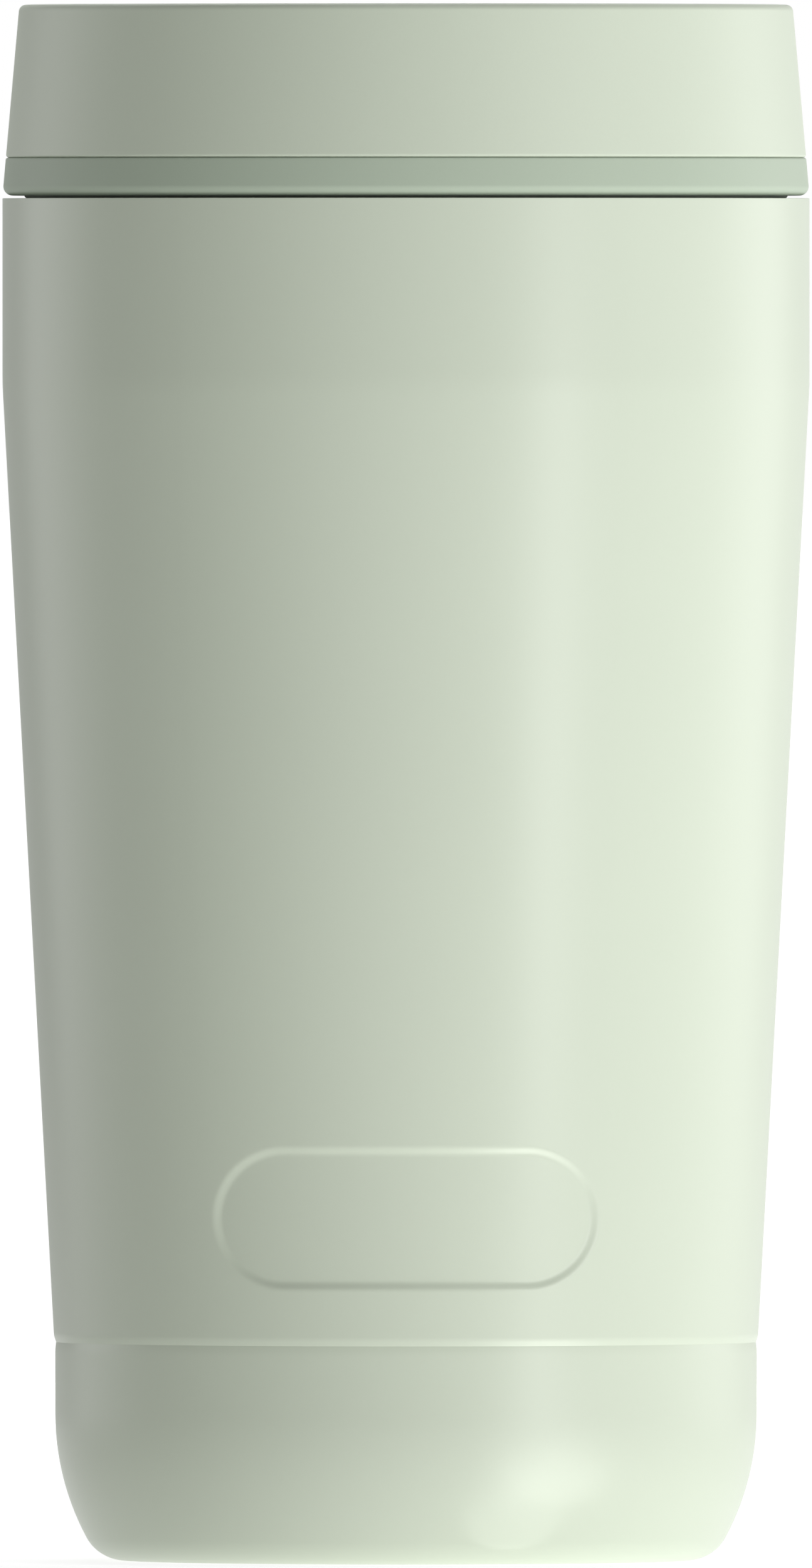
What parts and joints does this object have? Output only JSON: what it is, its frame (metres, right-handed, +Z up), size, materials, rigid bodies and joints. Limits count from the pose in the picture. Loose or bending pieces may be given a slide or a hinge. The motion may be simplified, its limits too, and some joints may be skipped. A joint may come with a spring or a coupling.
{
  "type": "insulated tumbler",
  "caption": "Double-walled steel drinking tumbler, tapered, with a screw-on lid whose central push button opens a ring valve for drinking from any side of the rim.",
  "frame": {"origin": "centre of the foot ring, on the table plane", "axes": "+Z up along the cup's axis, the pressed panel faces -Y, +X to the right of it"},
  "size_m": [0.078, 0.078, 0.1503],
  "materials": {
    "painted_steel": "satin gloss pale sage paint on stainless steel",
    "bare_steel": "fine circumferential brushed stainless steel",
    "copper_foil": "thin copper foil, lightly creased",
    "getter_metal": "sintered grey metal",
    "braze": "braze bead, smooth",
    "base_pad": "matt dark sage disc",
    "silicone": "matt dark grey silicone",
    "cap_plastic": "satin pale sage polypropylene",
    "band_plastic": "satin darker sage polypropylene",
    "latch_plastic": "natural white acetal",
    "spring_steel": "bright drawn spring wire"
  },
  "bodies": {
    "cup": {"outer_shell": "painted_steel", "base_cup": "painted_steel", "inner_vessel": "bare_steel", "radiation_shield": "copper_foil", "getter": "getter_metal", "port_seal": "braze", "base_cover": "base_pad"},
    "rim_seal": {"rim_gasket": "silicone"},
    "lid": {"lid_cap": "cap_plastic", "lid_band": "band_plastic", "lid_body": "band_plastic", "valve_spider": "band_plastic", "guide_sleeve": "latch_plastic", "stem_seal": "silicone", "return_spring": "spring_steel"},
    "valve": {"push_button": "cap_plastic", "valve_stem": "bare_steel", "valve_plate": "band_plastic", "valve_seal": "silicone", "valve_nut": "band_plastic", "rotor_clip": "spring_steel"},
    "rotor": {"latch_rotor": "latch_plastic"}
  },
  "joints": [
    {"name": "lid_lift", "type": "slide", "parent": "cup", "child": "rim_seal", "axis": [0, 0, 1], "range_m": [0, 0.024]},
    {"name": "lid_turn", "type": "hinge", "parent": "rim_seal", "child": "lid", "pos_m": [0, 0, 0.13185], "axis": [0, 0, 1], "range_deg": [0, 720]},
    {"name": "button_press", "type": "slide", "parent": "lid", "child": "valve", "axis": [0, 0, -1], "range_m": [0, 0.003], "stiffness_N_per_m": 600, "springref_m": -0.004, "deforming": ["return_spring"]},
    {"name": "latch_turn", "type": "hinge", "parent": "valve", "child": "rotor", "pos_m": [0, 0, 0.1405], "axis": [0, 0, 1], "range_deg": [0, 45]}
  ],
  "couplings": [
    {"joint": "lid_lift", "follows": "lid_turn", "m_per_rad": 0.0019099},
    {"joint": "latch_turn", "follows": "button_press", "rad_per_m": 261.8}
  ]
}
